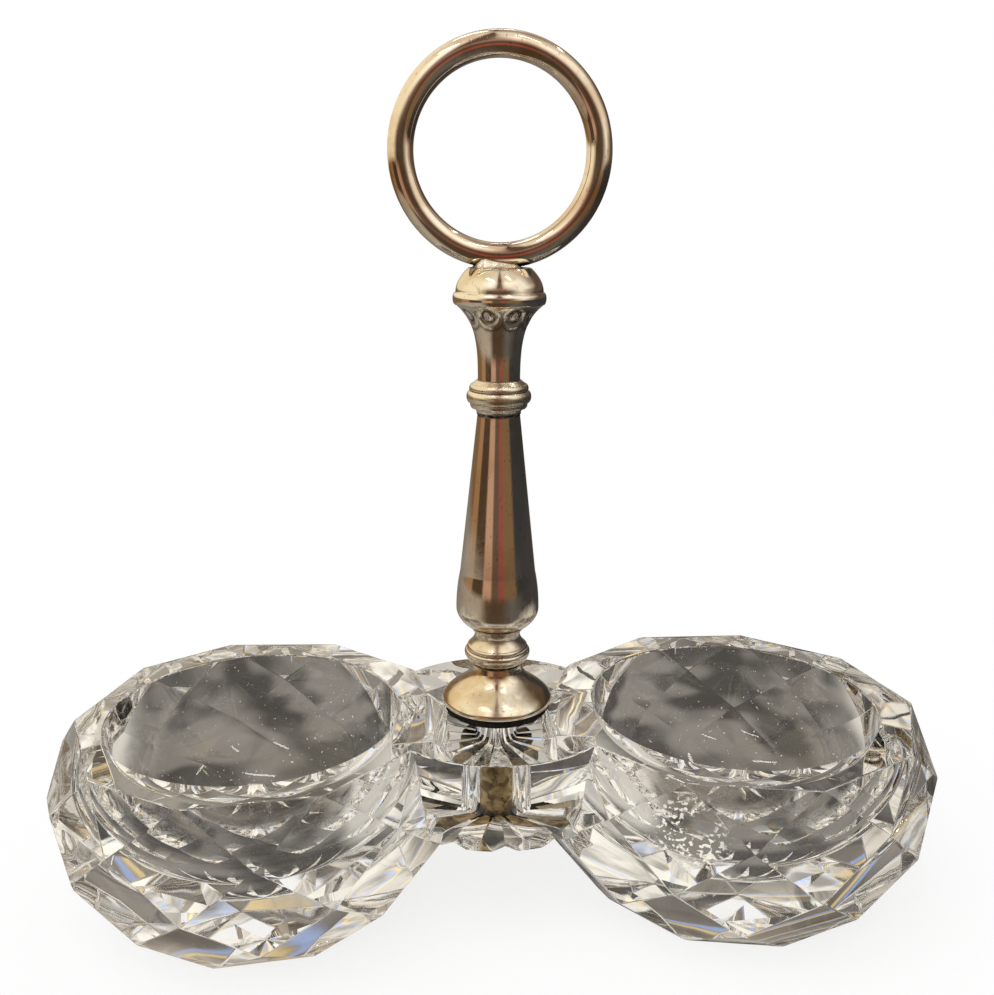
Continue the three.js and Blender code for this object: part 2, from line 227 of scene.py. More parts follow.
def turned(points, base=0.0, sides=TURNED_SIDES, closed=True, soften=0.08, centre=(0, 0)):
    """A bmesh of the outline turned about the vertical line through centre."""
    bm = bmesh.new()
    outline = softened(points, soften, closed) if soften else points
    if closed:
        outline = supported(outline)
    rings = []
    for radius, height in outline:
        if radius < NOTHING:
            rings.append([bm.verts.new((centre[0], centre[1], base + height))])
            continue
        rings.append([
            bm.verts.new((
                centre[0] + radius * math.cos(2 * math.pi * i / sides),
                centre[1] + radius * math.sin(2 * math.pi * i / sides),
                base + height))
            for i in range(sides)])
    bridge(bm, rings, closed)
    return bm


def hull(points, bevel=0.0):
    """The convex block of the points, with flat faces whole and its edges bevelled."""
    bm = bmesh.new()
    for point in points:
        bm.verts.new(point)
    bmesh.ops.convex_hull(bm, input=bm.verts)
    loose = [v for v in bm.verts if not v.link_faces]
    bmesh.ops.delete(bm, geom=loose, context="VERTS")
    bmesh.ops.dissolve_limit(bm, angle_limit=ONE_PLANE, verts=bm.verts, edges=bm.edges)
    if bevel:
        bmesh.ops.bevel(bm, geom=bm.edges[:], offset=bevel, segments=2, profile=0.5, affect="EDGES")
    return bm


def meeting(p, q, r):
    """The point that three planes share, each given as a normal and a distance."""
    (pn, pd), (qn, qd), (rn, rd) = p, q, r
    scale = pn.dot(qn.cross(rn))
    if abs(scale) < 1e-9:
        return None
    return (qn.cross(rn) * pd + rn.cross(pn) * qd + pn.cross(qn) * rd) / scale


def corners_behind(planes):
    """The corners of the convex block that lies behind all the planes."""
    corners = []
    for trio in itertools.combinations(planes, 3):
        corner = meeting(*trio)
        if corner is None or any(n.dot(corner) > d + 1e-5 for n, d in planes):
            continue
        if all((corner - other).length > 1e-3 for other in corners):
            corners.append(corner)
    return corners


def apply_boolean(target, cutter, operation):
    """Joins the cutter to the target or cuts it away, and removes the cutter."""
    step = target.modifiers.new("step", "BOOLEAN")
    step.object = cutter
    step.operation = operation
    step.solver = "EXACT"
    graph = bpy.context.evaluated_depsgraph_get()
    result = bpy.data.meshes.new_from_object(target.evaluated_get(graph))
    old = target.data
    target.modifiers.clear()
    target.data = result
    bpy.data.meshes.remove(old)
    used = cutter.data
    bpy.data.objects.remove(cutter)
    bpy.data.meshes.remove(used)


def sharpen(thing, smooth_angle):
    """Joins points that share a place and shades the mesh again, after it was cut."""
    bm = bmesh.new()
    bm.from_mesh(thing.data)
    bmesh.ops.remove_doubles(bm, verts=bm.verts, dist=1e-7)
    shade(bm, smooth_angle)
    bm.to_mesh(thing.data)
    bm.free()


# Glass body

class Slant:
    """A facet's distance from the bowl's axis: a straight line over its drop below the rim."""

    def __init__(self, first, second):
        self.slope = (second[0] - first[0]) / (second[1] - first[1])
        self.start = first[0] - self.slope * first[1]

    def at(self, drop):
        return self.start + self.slope * drop

    def plane(self, angle, deeper=0):
        return Vector((math.cos(angle), math.sin(angle), self.slope)), self.at(RIM_HEIGHT) - deeper


INSET = math.cos(COLUMN_STEP / 2)
CROWN = Slant((RIM_CORNER_RADIUS * INSET, 0), (GIRDLE_RADIUS, GIRDLE_DROP))
UPPER = Slant((RIM_CORNER_RADIUS, 0), (GIRDLE_RADIUS * INSET, GIRDLE_DROP))
MIDDLE = Slant((GIRDLE_RADIUS, GIRDLE_DROP), (UPPER.at(WAIST_DROP) * INSET, WAIST_DROP))
LOWER = Slant((UPPER.at(WAIST_DROP), WAIST_DROP), (MIDDLE.at(KNEE_DROP) * INSET, KNEE_DROP))
FOOT_ROW = Slant((MIDDLE.at(KNEE_DROP), KNEE_DROP), (LOWER.at(RIM_HEIGHT) * INSET, RIM_HEIGHT))


def bowl_block(side, turn, deep_columns):
    """The solid outside of a bowl: rows of facets in columns, and one wider column facing the hub."""
    planes = [(Vector((0, 0, 1)), RIM_HEIGHT), (Vector((0, 0, -1)), 0)]
    wide = 2 * math.pi - COLUMNS * COLUMN_STEP
    for i in range(COLUMNS + 1):
        edge = turn + wide / 2 + i * COLUMN_STEP
        middle = edge + COLUMN_STEP / 2 if i < COLUMNS else turn
        planes += [row.plane(edge) for row in (UPPER, LOWER)]
        planes.append(CROWN.plane(middle, DEEP_CUT["crown"] if i in deep_columns else 0))
        planes.append(MIDDLE.plane(middle, DEEP_CUT["middle"] if i in deep_columns else 0))
        planes.append(FOOT_ROW.plane(middle))
    corners = corners_behind(planes)
    offset = side * BOWL_SPACING / 2
    return hull([(offset - side * c.x, c.y, c.z) for c in corners], bevel=FACET_BEVEL)


def bowl_cavity(side):
    """The inside of a bowl, with a narrow chamfer at its lip and some height above the rim."""
    points = []
    for i in range(CAVITY_STEPS + 1):
        angle = i / CAVITY_STEPS * math.pi / 2
        radius = MOUTH_RADIUS * math.sin(angle) ** (2 / CAVITY_ROUNDNESS)
        drop = CAVITY_DEPTH * max(math.cos(angle), 0) ** (2 / CAVITY_ROUNDNESS)
        if drop > LIP:
            points.append((radius, RIM_HEIGHT - drop))
    points += [(MOUTH_RADIUS, RIM_HEIGHT - LIP), (MOUTH_RADIUS + LIP / 3, RIM_HEIGHT - LIP / 3)]
    points += [(MOUTH_RADIUS + LIP, RIM_HEIGHT), (MOUTH_RADIUS + LIP, RIM_HEIGHT + 1), (0, RIM_HEIGHT + 1)]
    return turned(points, closed=False, soften=0, sides=GLASS_SIDES, centre=(side * BOWL_SPACING / 2, 0))


def groove(stations, angle, centre, base):
    """A groove of V section in a flat underside, from stations of distance, half width, depth."""
    turn = Matrix.Rotation(angle, 3, "Z")
    points = []
    for x, half_width, depth in stations:
        points += [(x, -half_width, 0), (x, half_width, 0), (x, -half_width, -1), (x, half_width, -1)]
        points.append((x, 0, depth))
    place = Vector((centre, 0, base))
    return hull([turn @ Vector(p) + place for p in points])


def cut_grooves(thing, stations, count, first_angle, centre, base):
    for i in range(count):
        bm = groove(stations, first_angle + i * 2 * math.pi / count, centre, base)
        apply_boolean(thing, new_object("groove", bm), "DIFFERENCE")


def glass_body():
    """Hub and bowls as one closed mesh, with grooves, cavities and the stud's hole cut out of it."""
    hub_bottom = RIM_HEIGHT - HUB["thickness"]
    hub_top = RIM_HEIGHT - HUB_STEP
    block = [(0, hub_bottom), (HUB["radius"], hub_bottom), (HUB["radius"], hub_top), (0, hub_top)]
    body = new_object("crystal", turned(block, closed=False, soften=HUB_ROUND, sides=GLASS_SIDES))
    rate = math.tan(math.pi / PETAL["count"])
    start = PETAL["web"] / 2 / rate
    peak = HUB["radius"] * PETAL["peak"]
    petal = [
        (start, 0, 0),
        (peak, (peak - start) * rate, PETAL["depth"]),
        (HUB["radius"] + 1, PETAL["end_half_width"], PETAL["end_depth"]),
    ]
    cut_grooves(body, petal, PETAL["count"], -math.pi / 2, 0, hub_bottom)
    ray = [(0, STAR["half_width"], STAR["depth"]), (FOOT_ROW.at(RIM_HEIGHT) - STAR["margin"], 0, 0)]
    for side, turn, deep_columns in BOWLS:
        bowl = new_object("bowl", bowl_block(side, turn, deep_columns))
        cut_grooves(bowl, ray, STAR["rays"], 0, side * BOWL_SPACING / 2, 0)
        apply_boolean(body, bowl, "UNION")
    for side in (-1, 1):
        apply_boolean(body, new_object("cavity", bowl_cavity(side)), "DIFFERENCE")
    hole = [(0, 0), (HOLE_RADIUS, 0), (HOLE_RADIUS, RIM_HEIGHT + 1), (0, RIM_HEIGHT + 1)]
    drill = turned(hole, closed=False, soften=0, sides=HOLE_SIDES)
    apply_boolean(body, new_object("hole", drill), "DIFFERENCE")
    sharpen(body, FACET_ANGLE)
    return body


# Metal pieces: each outline gives radius and height above the piece's own foot

def foot_flange():
    path = Outline(9.21, 0).to(9.36, 0.42).to(9.21, 0.85)
    path.cubic((7.59, 3.21), (4.27, 3.57), (4.0, 6.9))
    return new_object("foot", turned(path.closed(STUD_BORE), FOOT_BASE))


def base_knop():
    path = Outline(4.2, 0).to(4.2, 0.3).bulge(5.38, 4.95, 2.5).bulge(5.05, 4.75, 3.25)
    path.quad((4.01, 4.05), (3.76, 4.85)).quad((3.76, 5.65), (4.6, 6.45)).to(4.6, 6.8)
    return new_object("knop", turned(path.closed(ROD_BORE), KNOP_BASE))


def baluster_stem():
    path = Outline(5.0, 0).quad((6.05, 0.8), (6.6, 1.9)).quad((6.84, 2.45), (6.84, 3.0))
    path.quad((6.84, 6.2), (6.17, 9.4)).to(3.36, 35.4)
    return new_object("stem", turned(path.closed(ROD_BORE), BALUSTER_BASE))


def stem_collar():
    path = Outline(3.5, 0).quad((3.5, 0.95), (4.25, 0.95)).bulge(4.5, 4.45, 1.75)
    path.bulge(5.1, 4.45, 3.7).bulge(4.65, 4.25, 4.7).to(3.5, 5.3)
    return new_object("neck_ring", turned(path.closed(ROD_BORE), COLLAR_BASE))


# The capital's flare as a curve of four control points, and the lappets pressed in it: each is a sunk
# dish with a low rim and an egg. Its place is a share of the way up the flare, the rest millimetres
FLARE = ((3.31, 0), (3.31, 5.0), (3.58, 9.16), (6.73, 11.5))
LAPPETS = 8
LAPPET = {
    "share": 0.82, "tall": 0.92, "rim": 1.75, "rim_width": 0.28, "rim_rise": 0.05, "floor": 0.16,
    "floor_inset": 0.1, "slope": 0.6, "egg": 0.8, "egg_rise": 0.15, "reach": 3}
# Painted shade on each lappet: a dark ring round the egg, and a band outside the rim below a height
LAPPET_SHADE = {"egg": 0.98, "egg_width": 0.26, "outside": 2.2, "outside_width": 0.22, "top": 1.2}
DOME_TOP_RADIUS = 4.8
ROD_END = 10.6
SEAT_GAP = 0.03


def flare_point(share):
    return Vector(cubic_at(share, FLARE))


def lappet_height(across, along):
    """How far the surface stands out at a place measured from a lappet's middle."""
    from_middle = math.hypot(across, along * LAPPET["tall"])
    rim = LAPPET["rim_rise"] * math.exp(-((from_middle - LAPPET["rim"]) / LAPPET["rim_width"]) ** 2)
    inside = min(max((LAPPET["rim"] - LAPPET["floor_inset"] - from_middle) / LAPPET["slope"], 0), 1)
    egg = max(1 - (math.hypot(across * 1.15, along * 0.95) / LAPPET["egg"]) ** 2, 0)
    return rim - LAPPET["floor"] * inside ** 2 * (3 - 2 * inside) + LAPPET["egg_rise"] * math.sqrt(egg)


def lappet_shade(across, along):
    """Where shade is painted: round the egg, and outside the rim."""
    from_middle = math.hypot(across, along * LAPPET["tall"])
    round_egg = math.exp(-((from_middle - LAPPET_SHADE["egg"]) / LAPPET_SHADE["egg_width"]) ** 2)
    outside = math.exp(-((from_middle - LAPPET_SHADE["outside"]) / LAPPET_SHADE["outside_width"]) ** 2)
    return max(round_egg, 0.7 * outside if along < LAPPET_SHADE["top"] else 0)


def press_lappets(bm):
    """Moves the flare's points in and out to make the lappets, and notes where shade is painted on them."""
    dirt_and_shade = bm.verts.layers.float.new("dirt_and_shade")
    middle = flare_point(LAPPET["share"])
    tangent = (flare_point(LAPPET["share"] + 0.01) - flare_point(LAPPET["share"] - 0.01)).normalized()
    pitch = 2 * math.pi / LAPPETS
    for vert in bm.verts:
        radius, height = math.hypot(vert.co.x, vert.co.y), vert.co.z - CAPITAL_BASE
        offset = Vector((radius, height)) - middle
        if radius < FLARE[0][0] - 0.01 or offset.length > LAPPET["reach"] or height > FLARE[-1][1] + 0.02:
            continue
        turn = math.atan2(vert.co.y, vert.co.x) / pitch
        across = (turn - math.floor(turn) - 0.5) * pitch * radius
        along = math.copysign(offset.length, offset.dot(tangent))
        rise = lappet_height(across, along)
        out = Vector((vert.co.x, vert.co.y, 0)).normalized()
        vert.co += (out * tangent.y - Vector((0, 0, 1)) * tangent.x) * rise
        # Painted shade round each egg and outside each rim, kept in the mesh for the silver's material
        vert[dirt_and_shade] = lappet_shade(across, along)


def capital():
    path = Outline(ROD_BORE, 0)
    for i in range(FLARE_STEPS + 1):
        path.to(*flare_point(i / FLARE_STEPS))
    path.bulge(7.2, 6.75, 13.4).quad((6.75, 15.2), (DOME_TOP_RADIUS, CAPITAL_HEIGHT))
    points = [(0, ROD_END), (ROD_BORE, ROD_END)] + path.points + [(0, CAPITAL_HEIGHT)]
    bm = turned(points, CAPITAL_BASE, sides=CAPITAL_SIDES, closed=False)
    press_lappets(bm)
    body = new_object("top", bm)
    apply_boolean(body, new_object("seat", ring_bar(SEAT_GAP)), "DIFFERENCE")
    sharpen(body, METAL_ANGLE)
    return body


# The solder, in millimetres from the stem's axis: half the length and width of its sheet, the circle that
# the sheet keeps inside, how far its underside goes into the dome, and where its height comes down to
# nothing, all round and on the right
SOLDER = {"half_length": 4.58, "half_width": 3.2, "edge": 4.62, "skirt": 0.08, "rim": 4.6, "right": 3.7}
SOLDER_COLUMNS, SOLDER_ROWS = 120, 90


def eased(share):
    share = min(max(share, 0), 1)
    return share * share * (3 - 2 * share)


def solder_height(x, y):
    """How far the solder stands above the dome's flat top: a hollow run up both faces of the bar."""
    ends = min(eased((SOLDER["rim"] + x) / 2.4), eased((SOLDER["right"] - x) / 1.8))
    rim = eased((SOLDER["rim"] - math.hypot(x, y)) / 0.6)
    toe = 2.8 - 0.1 * x + 0.08 * math.sin(2.1 * x + 0.6)
    climb = eased((toe - abs(y)) / 1.3)
    return (0.95 - 0.13 * x + 0.025 * x * x) * climb * ends * rim


def solder():
    """The run of solder that joins the ring's foot to the capital, fuller on its left."""
    bm = bmesh.new()
    top = CAPITAL_BASE + CAPITAL_HEIGHT - 0.01
    columns, rows = SOLDER_COLUMNS, SOLDER_ROWS
    sheet = []
    for i in range(columns + 1):
        x = SOLDER["half_length"] * (2 * i / columns - 1)
        reach = min(SOLDER["half_width"], math.sqrt(SOLDER["edge"] ** 2 - x * x))
        line = []
        for j in range(rows + 1):
            y = reach * (2 * j / rows - 1)
            heights = (top + solder_height(x, y), top - SOLDER["skirt"])
            line.append([bm.verts.new((x, y, height)) for height in heights])
        sheet.append(line)
    for i in range(columns):
        for j in range(rows):
            for side in (0, 1):
                square = ((i, j), (i + 1, j), (i + 1, j + 1), (i, j + 1))
                bm.faces.new([sheet[a][b][side] for a, b in square])
    edge = [(i, 0) for i in range(columns)] + [(columns, j) for j in range(rows)]
    edge += [(i, rows) for i in range(columns, 0, -1)] + [(0, j) for j in range(rows, 0, -1)]
    for (a, b), (c, d) in zip(edge, edge[1:] + edge[:1]):
        bm.faces.new((sheet[a][b][0], sheet[c][d][0], sheet[c][d][1], sheet[a][b][1]))
    return new_object("solder", bm, SOLDER_ANGLE)


# The packing's section as radius and height above the glass, of which the outer rows are frayed, and
# how deep the fray goes
PACKING = ((7.0, 0.02), (8.35, 0.02), (8.95, 0.25), (9.0, 0.8), (8.9, 1.3), (8.4, 1.55), (7.0, 1.55))
PACKING_FRAYED = range(2, 5)
PACKING_SIDES = 240
FRAY = 0.3


def packing():
    """The frayed ring of packing squeezed out between the foot and the glass."""
    random = Random(4)
    fray = [random.uniform(-1, 1) for _ in range(PACKING_SIDES)]
    bm = bmesh.new()
    rings = []
    for k, (radius, height) in enumerate(PACKING):
        row = []
        for i in range(PACKING_SIDES):
            a = 2 * math.pi * i / PACKING_SIDES
            wave = 0.5 * math.sin(7 * a + k) + 0.3 * math.sin(17 * a + 2 * k)
            wave += 0.5 * fray[(i * (1 + k % 2)) % PACKING_SIDES]
            r = radius + (FRAY * wave - FRAY if k in PACKING_FRAYED else 0)
            row.append(bm.verts.new((r * math.cos(a), r * math.sin(a), RIM_HEIGHT + height)))
        rings.append(row)
    bridge(bm, rings, closed=True)
    return new_object("packing", bm, FRAYED_ANGLE)


def ring_bar(extra=0.0):
    """The finger ring's round bar, thicker by extra all round where it is used as a cutter."""
    bm = bmesh.new()
    rows = []
    for i in range(RING_AROUND):
        a = 2 * math.pi * i / RING_AROUND
        row = []
        for j in range(RING_ACROSS):
            b = 2 * math.pi * j / RING_ACROSS
            reach = RING_RADIUS + (RING_BAR + extra) * math.cos(b)
            depth = (RING_BAR + extra) * math.sin(b)
            row.append(bm.verts.new((reach * math.cos(a), depth, RING_CENTRE + reach * math.sin(a))))
        rows.append(row)
    for i in range(RING_AROUND):
        for j in range(RING_ACROSS):
            k, m = (i + 1) % RING_AROUND, (j + 1) % RING_ACROSS
            bm.faces.new((rows[i][j], rows[k][j], rows[k][m], rows[i][m]))
    return bm


# Materials

class Look:
    """A material's node tree, with short calls that add nodes and join them up."""

    def __init__(self, name):
        self.material = bpy.data.materials.new(name)
        self.material.use_nodes = True
        self.nodes = self.material.node_tree.nodes
        self.links = self.material.node_tree.links
        self.shader = self.nodes["Principled BSDF"]
        self.where = self.nodes.new("ShaderNodeTexCoord").outputs["Object"]

    def feed(self, socket, value):
        """Joins another node's socket on, or sets a constant."""
        if isinstance(value, bpy.types.NodeSocket):
            self.links.new(value, socket)
        elif isinstance(value, tuple) and len(value) == 3 and socket.type == "RGBA":
            socket.default_value = (*value, 1)
        else:
            socket.default_value = value

    def set(self, **values):
        for name, value in values.items():
            self.feed(self.shader.inputs[name.replace("_", " ")], value)

    def noise(self, size_mm, detail=3.0, stretch=(1, 1, 1), shift=0.0, warp=0.0):
        """Soft noise with features of about that size; stretch lengthens them along an axis."""
        mapping = self.nodes.new("ShaderNodeMapping")
        self.links.new(self.where, mapping.inputs["Vector"])
        mapping.inputs["Location"].default_value = (shift, shift, shift)
        mapping.inputs["Scale"].default_value = tuple(1 / s for s in stretch)
        node = self.nodes.new("ShaderNodeTexNoise")
        self.links.new(mapping.outputs["Vector"], node.inputs["Vector"])
        node.inputs["Scale"].default_value = 1 / (size_mm * MM)
        node.inputs["Detail"].default_value = detail
        node.inputs["Distortion"].default_value = warp
        return node.outputs["Fac"]

    def spread(self, value, low, high, to_low=0.0, to_high=1.0):
        """The value eased from one range to another, and held at its ends."""
        node = self.nodes.new("ShaderNodeMapRange")
        node.interpolation_type = "SMOOTHSTEP"
        for name, number in (("From Min", low), ("From Max", high), ("To Min", to_low), ("To Max", to_high)):
            node.inputs[name].default_value = number
        self.links.new(value, node.inputs["Value"])
        return node.outputs["Result"]

    def math(self, operation, first, second=0.0):
        node = self.nodes.new("ShaderNodeMath")
        node.operation = operation
        self.feed(node.inputs[0], first)
        self.feed(node.inputs[1], second)
        return node.outputs[0]

    def mix(self, share, first, second):
        """A colour between two; 6, 7 and 2 are the node's colour sockets."""
        node = self.nodes.new("ShaderNodeMix")
        node.data_type = "RGBA"
        self.feed(node.inputs["Factor"], share)
        self.feed(node.inputs[6], first)
        self.feed(node.inputs[7], second)
        return node.outputs[2]

    def crevice(self, reach_mm):
        """One where the surface is open, towards nothing where other faces stand close round it."""
        node = self.nodes.new("ShaderNodeAmbientOcclusion")
        node.samples = 8
        node.inputs["Distance"].default_value = reach_mm * MM
        return node.outputs["AO"]

    def bump(self, *layers):
        """Height layers, each with its depth in millimetres, one on top of the other."""
        normal = None
        for height, depth_mm in layers:
            node = self.nodes.new("ShaderNodeBump")
            node.inputs["Distance"].default_value = depth_mm * MM
            node.inputs["Strength"].default_value = 1.0
            self.links.new(height, node.inputs["Height"])
            if normal:
                self.links.new(normal, node.inputs["Normal"])
            normal = node.outputs["Normal"]
        self.links.new(normal, self.shader.inputs["Normal"])

    def axis(self, name):
        node = self.nodes.new("ShaderNodeSeparateXYZ")
        self.links.new(self.where, node.inputs["Vector"])
        return node.outputs[name]

    def near(self, point_mm, full_mm, none_mm):
        """One close to a point, falling to nothing away from it."""
        node = self.nodes.new("ShaderNodeVectorMath")
        node.operation = "DISTANCE"
        self.links.new(self.where, node.inputs[0])
        node.inputs[1].default_value = tuple(c * MM for c in point_mm)
        return self.spread(node.outputs["Value"], none_mm * MM, full_mm * MM)

    def distance(self, x_mm, y_mm):
        """How far the surface is from an upright line, in metres."""
        across = self.math("SUBTRACT", self.axis("X"), x_mm * MM)
        along = self.math("SUBTRACT", self.axis("Y"), y_mm * MM)
        squares = self.math("ADD", self.math("POWER", across, 2), self.math("POWER", along, 2))
        return self.math("SQRT", squares)


# Middle of the patch of chalky specks on the front of the right bowl, and how far out it is dense and ends
CHALKY_PATCH = (26.3, -29.5, 24.6)
CHALKY_REACH = (4, 7.5)
# Painted shade: a grey tint inside the bowls that stands in for the dark room seen through them
SHADED_INSIDE = ((0.74, 0.71, 0.67), (0.90, 0.88, 0.84))
CLEAR = ((0.975, 0.97, 0.94), (0.995, 0.99, 0.965))
CHALKY = (0.95, 0.91, 0.78)


def inside_bowls(look):
    """One on the walls and floors of the two cavities, and nothing elsewhere."""
    edge = ((MOUTH_RADIUS + 0.4) * MM, (MOUTH_RADIUS + 0.2) * MM)
    left, right = (look.spread(look.distance(side * BOWL_SPACING / 2, 0), *edge) for side in (-1, 1))
    above_floor = look.spread(look.axis("Z"), 9 * MM, 9.5 * MM)
    return look.math("MULTIPLY", look.math("ADD", left, right), above_floor)


def crystal():
    """Clear lead crystal: darkened by painted shade and specked inside the bowls, with chalky specks in one
    patch, ground below.
    """
    look = Look("crystal")
    inside = inside_bowls(look)
    # Painted shade on the walls and floors of the cavities
    painted_shade = look.mix(look.noise(9, detail=4), *SHADED_INSIDE)
    clear = look.mix(look.noise(14), *CLEAR)
    under = look.spread(look.axis("Z"), 0.3 * MM, 0.1 * MM)
    dots = look.spread(look.noise(0.6, detail=3, stretch=(1.4, 1, 1), shift=0.2), 0.545, 0.585)
    dots = look.math("MULTIPLY", dots, look.spread(look.noise(5, detail=2, shift=0.7), 0.40, 0.52))
    dots = look.math("MULTIPLY", dots, look.near(CHALKY_PATCH, *CHALKY_REACH))
    specks = look.spread(look.noise(0.6, detail=2, shift=0.3), 0.70, 0.73)
    chalky_marks = look.math("MAXIMUM", dots, look.math("MULTIPLY", specks, inside))
    colour = look.mix(chalky_marks, look.mix(inside, clear, painted_shade), CHALKY)
    look.set(Base_Color=colour, IOR=1.545)
    look.set(Transmission_Weight=look.math("SUBTRACT", 1.0, look.math("MULTIPLY", chalky_marks, 0.85)))
    ground, chalked = look.math("MULTIPLY", under, 0.05), look.math("MULTIPLY", chalky_marks, 0.5)
    look.set(Roughness=look.math("ADD", ground, chalked))
    look.bump((look.noise(6, detail=1), 0.02))
    return look.material


# The heights at which one turned piece stands on the next and dirt has gathered, and the dirt's reach
SEAMS = (KNOP_BASE, BALUSTER_BASE, COLLAR_BASE)
SEAM_REACH = (0.14 * MM, 0.45 * MM)
# Colour of specks, and the dark colour for dirt in seams, tarnish and painted shade in crevices, and painted
# shade on the lappets
SPECK, DIRT_AND_SHADE = (0.30, 0.22, 0.14), (0.035, 0.024, 0.016)


def silver_dirt_and_shade(look):
    """One in crevices, in seams and where the mesh carries the lappets' painted shade, and nothing on open
    surfaces.
    """
    mark = look.nodes.new("ShaderNodeAttribute")
    mark.attribute_name = "dirt_and_shade"
    # Crevices found by occlusion darken: partly tarnish in the hollows, partly painted shade where faces
    # close round a spot
    dirt_and_shade = look.math("MAXIMUM", look.spread(look.crevice(1.3), 0.30, 0.80, 1.0, 0.0), mark.outputs["Fac"])
    for seam in SEAMS:
        away = look.math("ABSOLUTE", look.math("SUBTRACT", look.axis("Z"), seam * MM))
        dirt_and_shade = look.math("MAXIMUM", dirt_and_shade, look.spread(away, *SEAM_REACH, 1.0, 0.0))
    return dirt_and_shade


def silver(name, bright, toned, size_mm, roughness=(0.03, 0.10), dull_below=0):
    """Old silver plate: toned in patches, dark with dirt in seams, with tarnish and painted shade in
    crevices and painted shade on the lappets, with fine wear all over.
    """
    look = Look(name)
    patches = look.spread(look.noise(size_mm, detail=6, warp=0.6), 0.40, 0.64)
    fine = look.noise(0.9, detail=5)
    colour = look.mix(patches, bright, toned)
    specks = look.spread(look.noise(0.5, detail=2, stretch=(1, 1, 2.0)), 0.64, 0.70)
    colour = look.mix(look.math("MULTIPLY", specks, 0.35), colour, SPECK)
    dirt_and_shade = silver_dirt_and_shade(look)
    # Darker with dirt in the seams, with tarnish and painted shade in crevices, and with painted shade on
    # the lappets
    colour = look.mix(look.math("MULTIPLY", dirt_and_shade, look.spread(fine, 0.25, 0.6, 0.6, 1.0)), colour, DIRT_AND_SHADE)
    look.set(Base_Color=colour, Metallic=1.0)
    wear = look.noise(0.35, detail=4, stretch=(1, 1, 6))
    rough = look.math("ADD", look.spread(fine, 0.3, 0.7, *roughness), look.math("MULTIPLY", dirt_and_shade, 0.35))
    if dull_below:
        duller = look.spread(look.axis("Z"), dull_below * MM, (dull_below - 4) * MM, 0, 0.15)
        rough = look.math("ADD", rough, duller)
    look.set(Roughness=rough)
    look.bump((look.noise(3.5, detail=1), 0.012), (wear, 0.0012), (specks, -0.003))
    return look.material


def brass():
    """Brass gone dull and brown, mottled and rough."""
    look = Look("brass")
    mottle = look.spread(look.noise(1.6, detail=6, warp=1.0), 0.38, 0.62)
    colour = look.mix(mottle, (0.66, 0.50, 0.25), (0.34, 0.23, 0.11))
    pits = look.spread(look.noise(0.5, detail=3), 0.60, 0.72)
    colour = look.mix(pits, colour, (0.05, 0.035, 0.02))
    look.set(Base_Color=colour, Metallic=0.85, Roughness=look.spread(mottle, 0, 1, 0.30, 0.55))
    look.bump((mottle, 0.03), (pits, -0.05))
    return look.material


def leather():
    """Black packing, frayed and dusty, with a fibrous grain."""
    look = Look("leather")
    grain = look.noise(0.5, detail=6, stretch=(1, 1, 0.5))
    dust = look.spread(look.noise(2.2, detail=5), 0.55, 0.75)
    colour = look.mix(grain, (0.006, 0.005, 0.005), (0.030, 0.024, 0.019))
    look.set(Base_Color=look.mix(dust, colour, (0.07, 0.058, 0.045)), Specular_IOR_Level=0.2)
    look.set(Roughness=look.spread(grain, 0.3, 0.7, 0.7, 0.95))
    look.bump((grain, 0.12))
    return look.material


def dress(thing, look):
    thing.data.materials.clear()
    thing.data.materials.append(look)


# Assembly

def place(piece, look, slot, *nodes):
    """Gives the piece its look and its body, and hides the CAD nodes that it stands in for. The slot is not
    used.
    """
    dress(piece, look)
    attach(piece, "root")
    if nodes:
        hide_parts(*nodes)


GLASS, BRASS, LEATHER = crystal(), brass(), leather()
PLATE = silver("silver_plate", (0.93, 0.88, 0.78), (0.80, 0.71, 0.57), 7, (0.05, 0.13), dull_below=51)
SATIN = silver("silver_satin", (0.95, 0.90, 0.80), (0.82, 0.74, 0.60), 5, (0.20, 0.32))
STEM = silver("silver_stem", (0.93, 0.87, 0.77), (0.82, 0.72, 0.60), 9, dull_below=55)
WORN = silver("silver_worn", (0.90, 0.84, 0.73), (0.74, 0.61, 0.42), 6, (0.10, 0.24))
GRIP = silver("silver_grip", (0.90, 0.82, 0.69), (0.70, 0.56, 0.43), 8)
place(glass_body(), GLASS, "crystal", "glass_body")
place(foot_flange(), WORN, "worn_silver", "foot_flange")
place(base_knop(), PLATE, "silver", "base_knop")
place(baluster_stem(), STEM, "silver", "baluster")
place(stem_collar(), SATIN, "silver", "collar")
place(capital(), PLATE, "silver", "capital")
place(new_object("grip", ring_bar()), GRIP, "silver", "finger_ring")
place(solder(), SATIN, "silver")
place(packing(), LEATHER, "gasket", "foot_gasket")
dress(frame["nodes"]["hub_gasket"], LEATHER)
for node in ("tie_stud", "hub_washer", "clamp_nut"):
    dress(frame["nodes"][node], BRASS)


# Room: what the metal mirrors and what shows through the glass. It was cut away round the object in the
# photograph, so it shows only in metal and glass. Sizes in millimetres, from the middle of the hub.

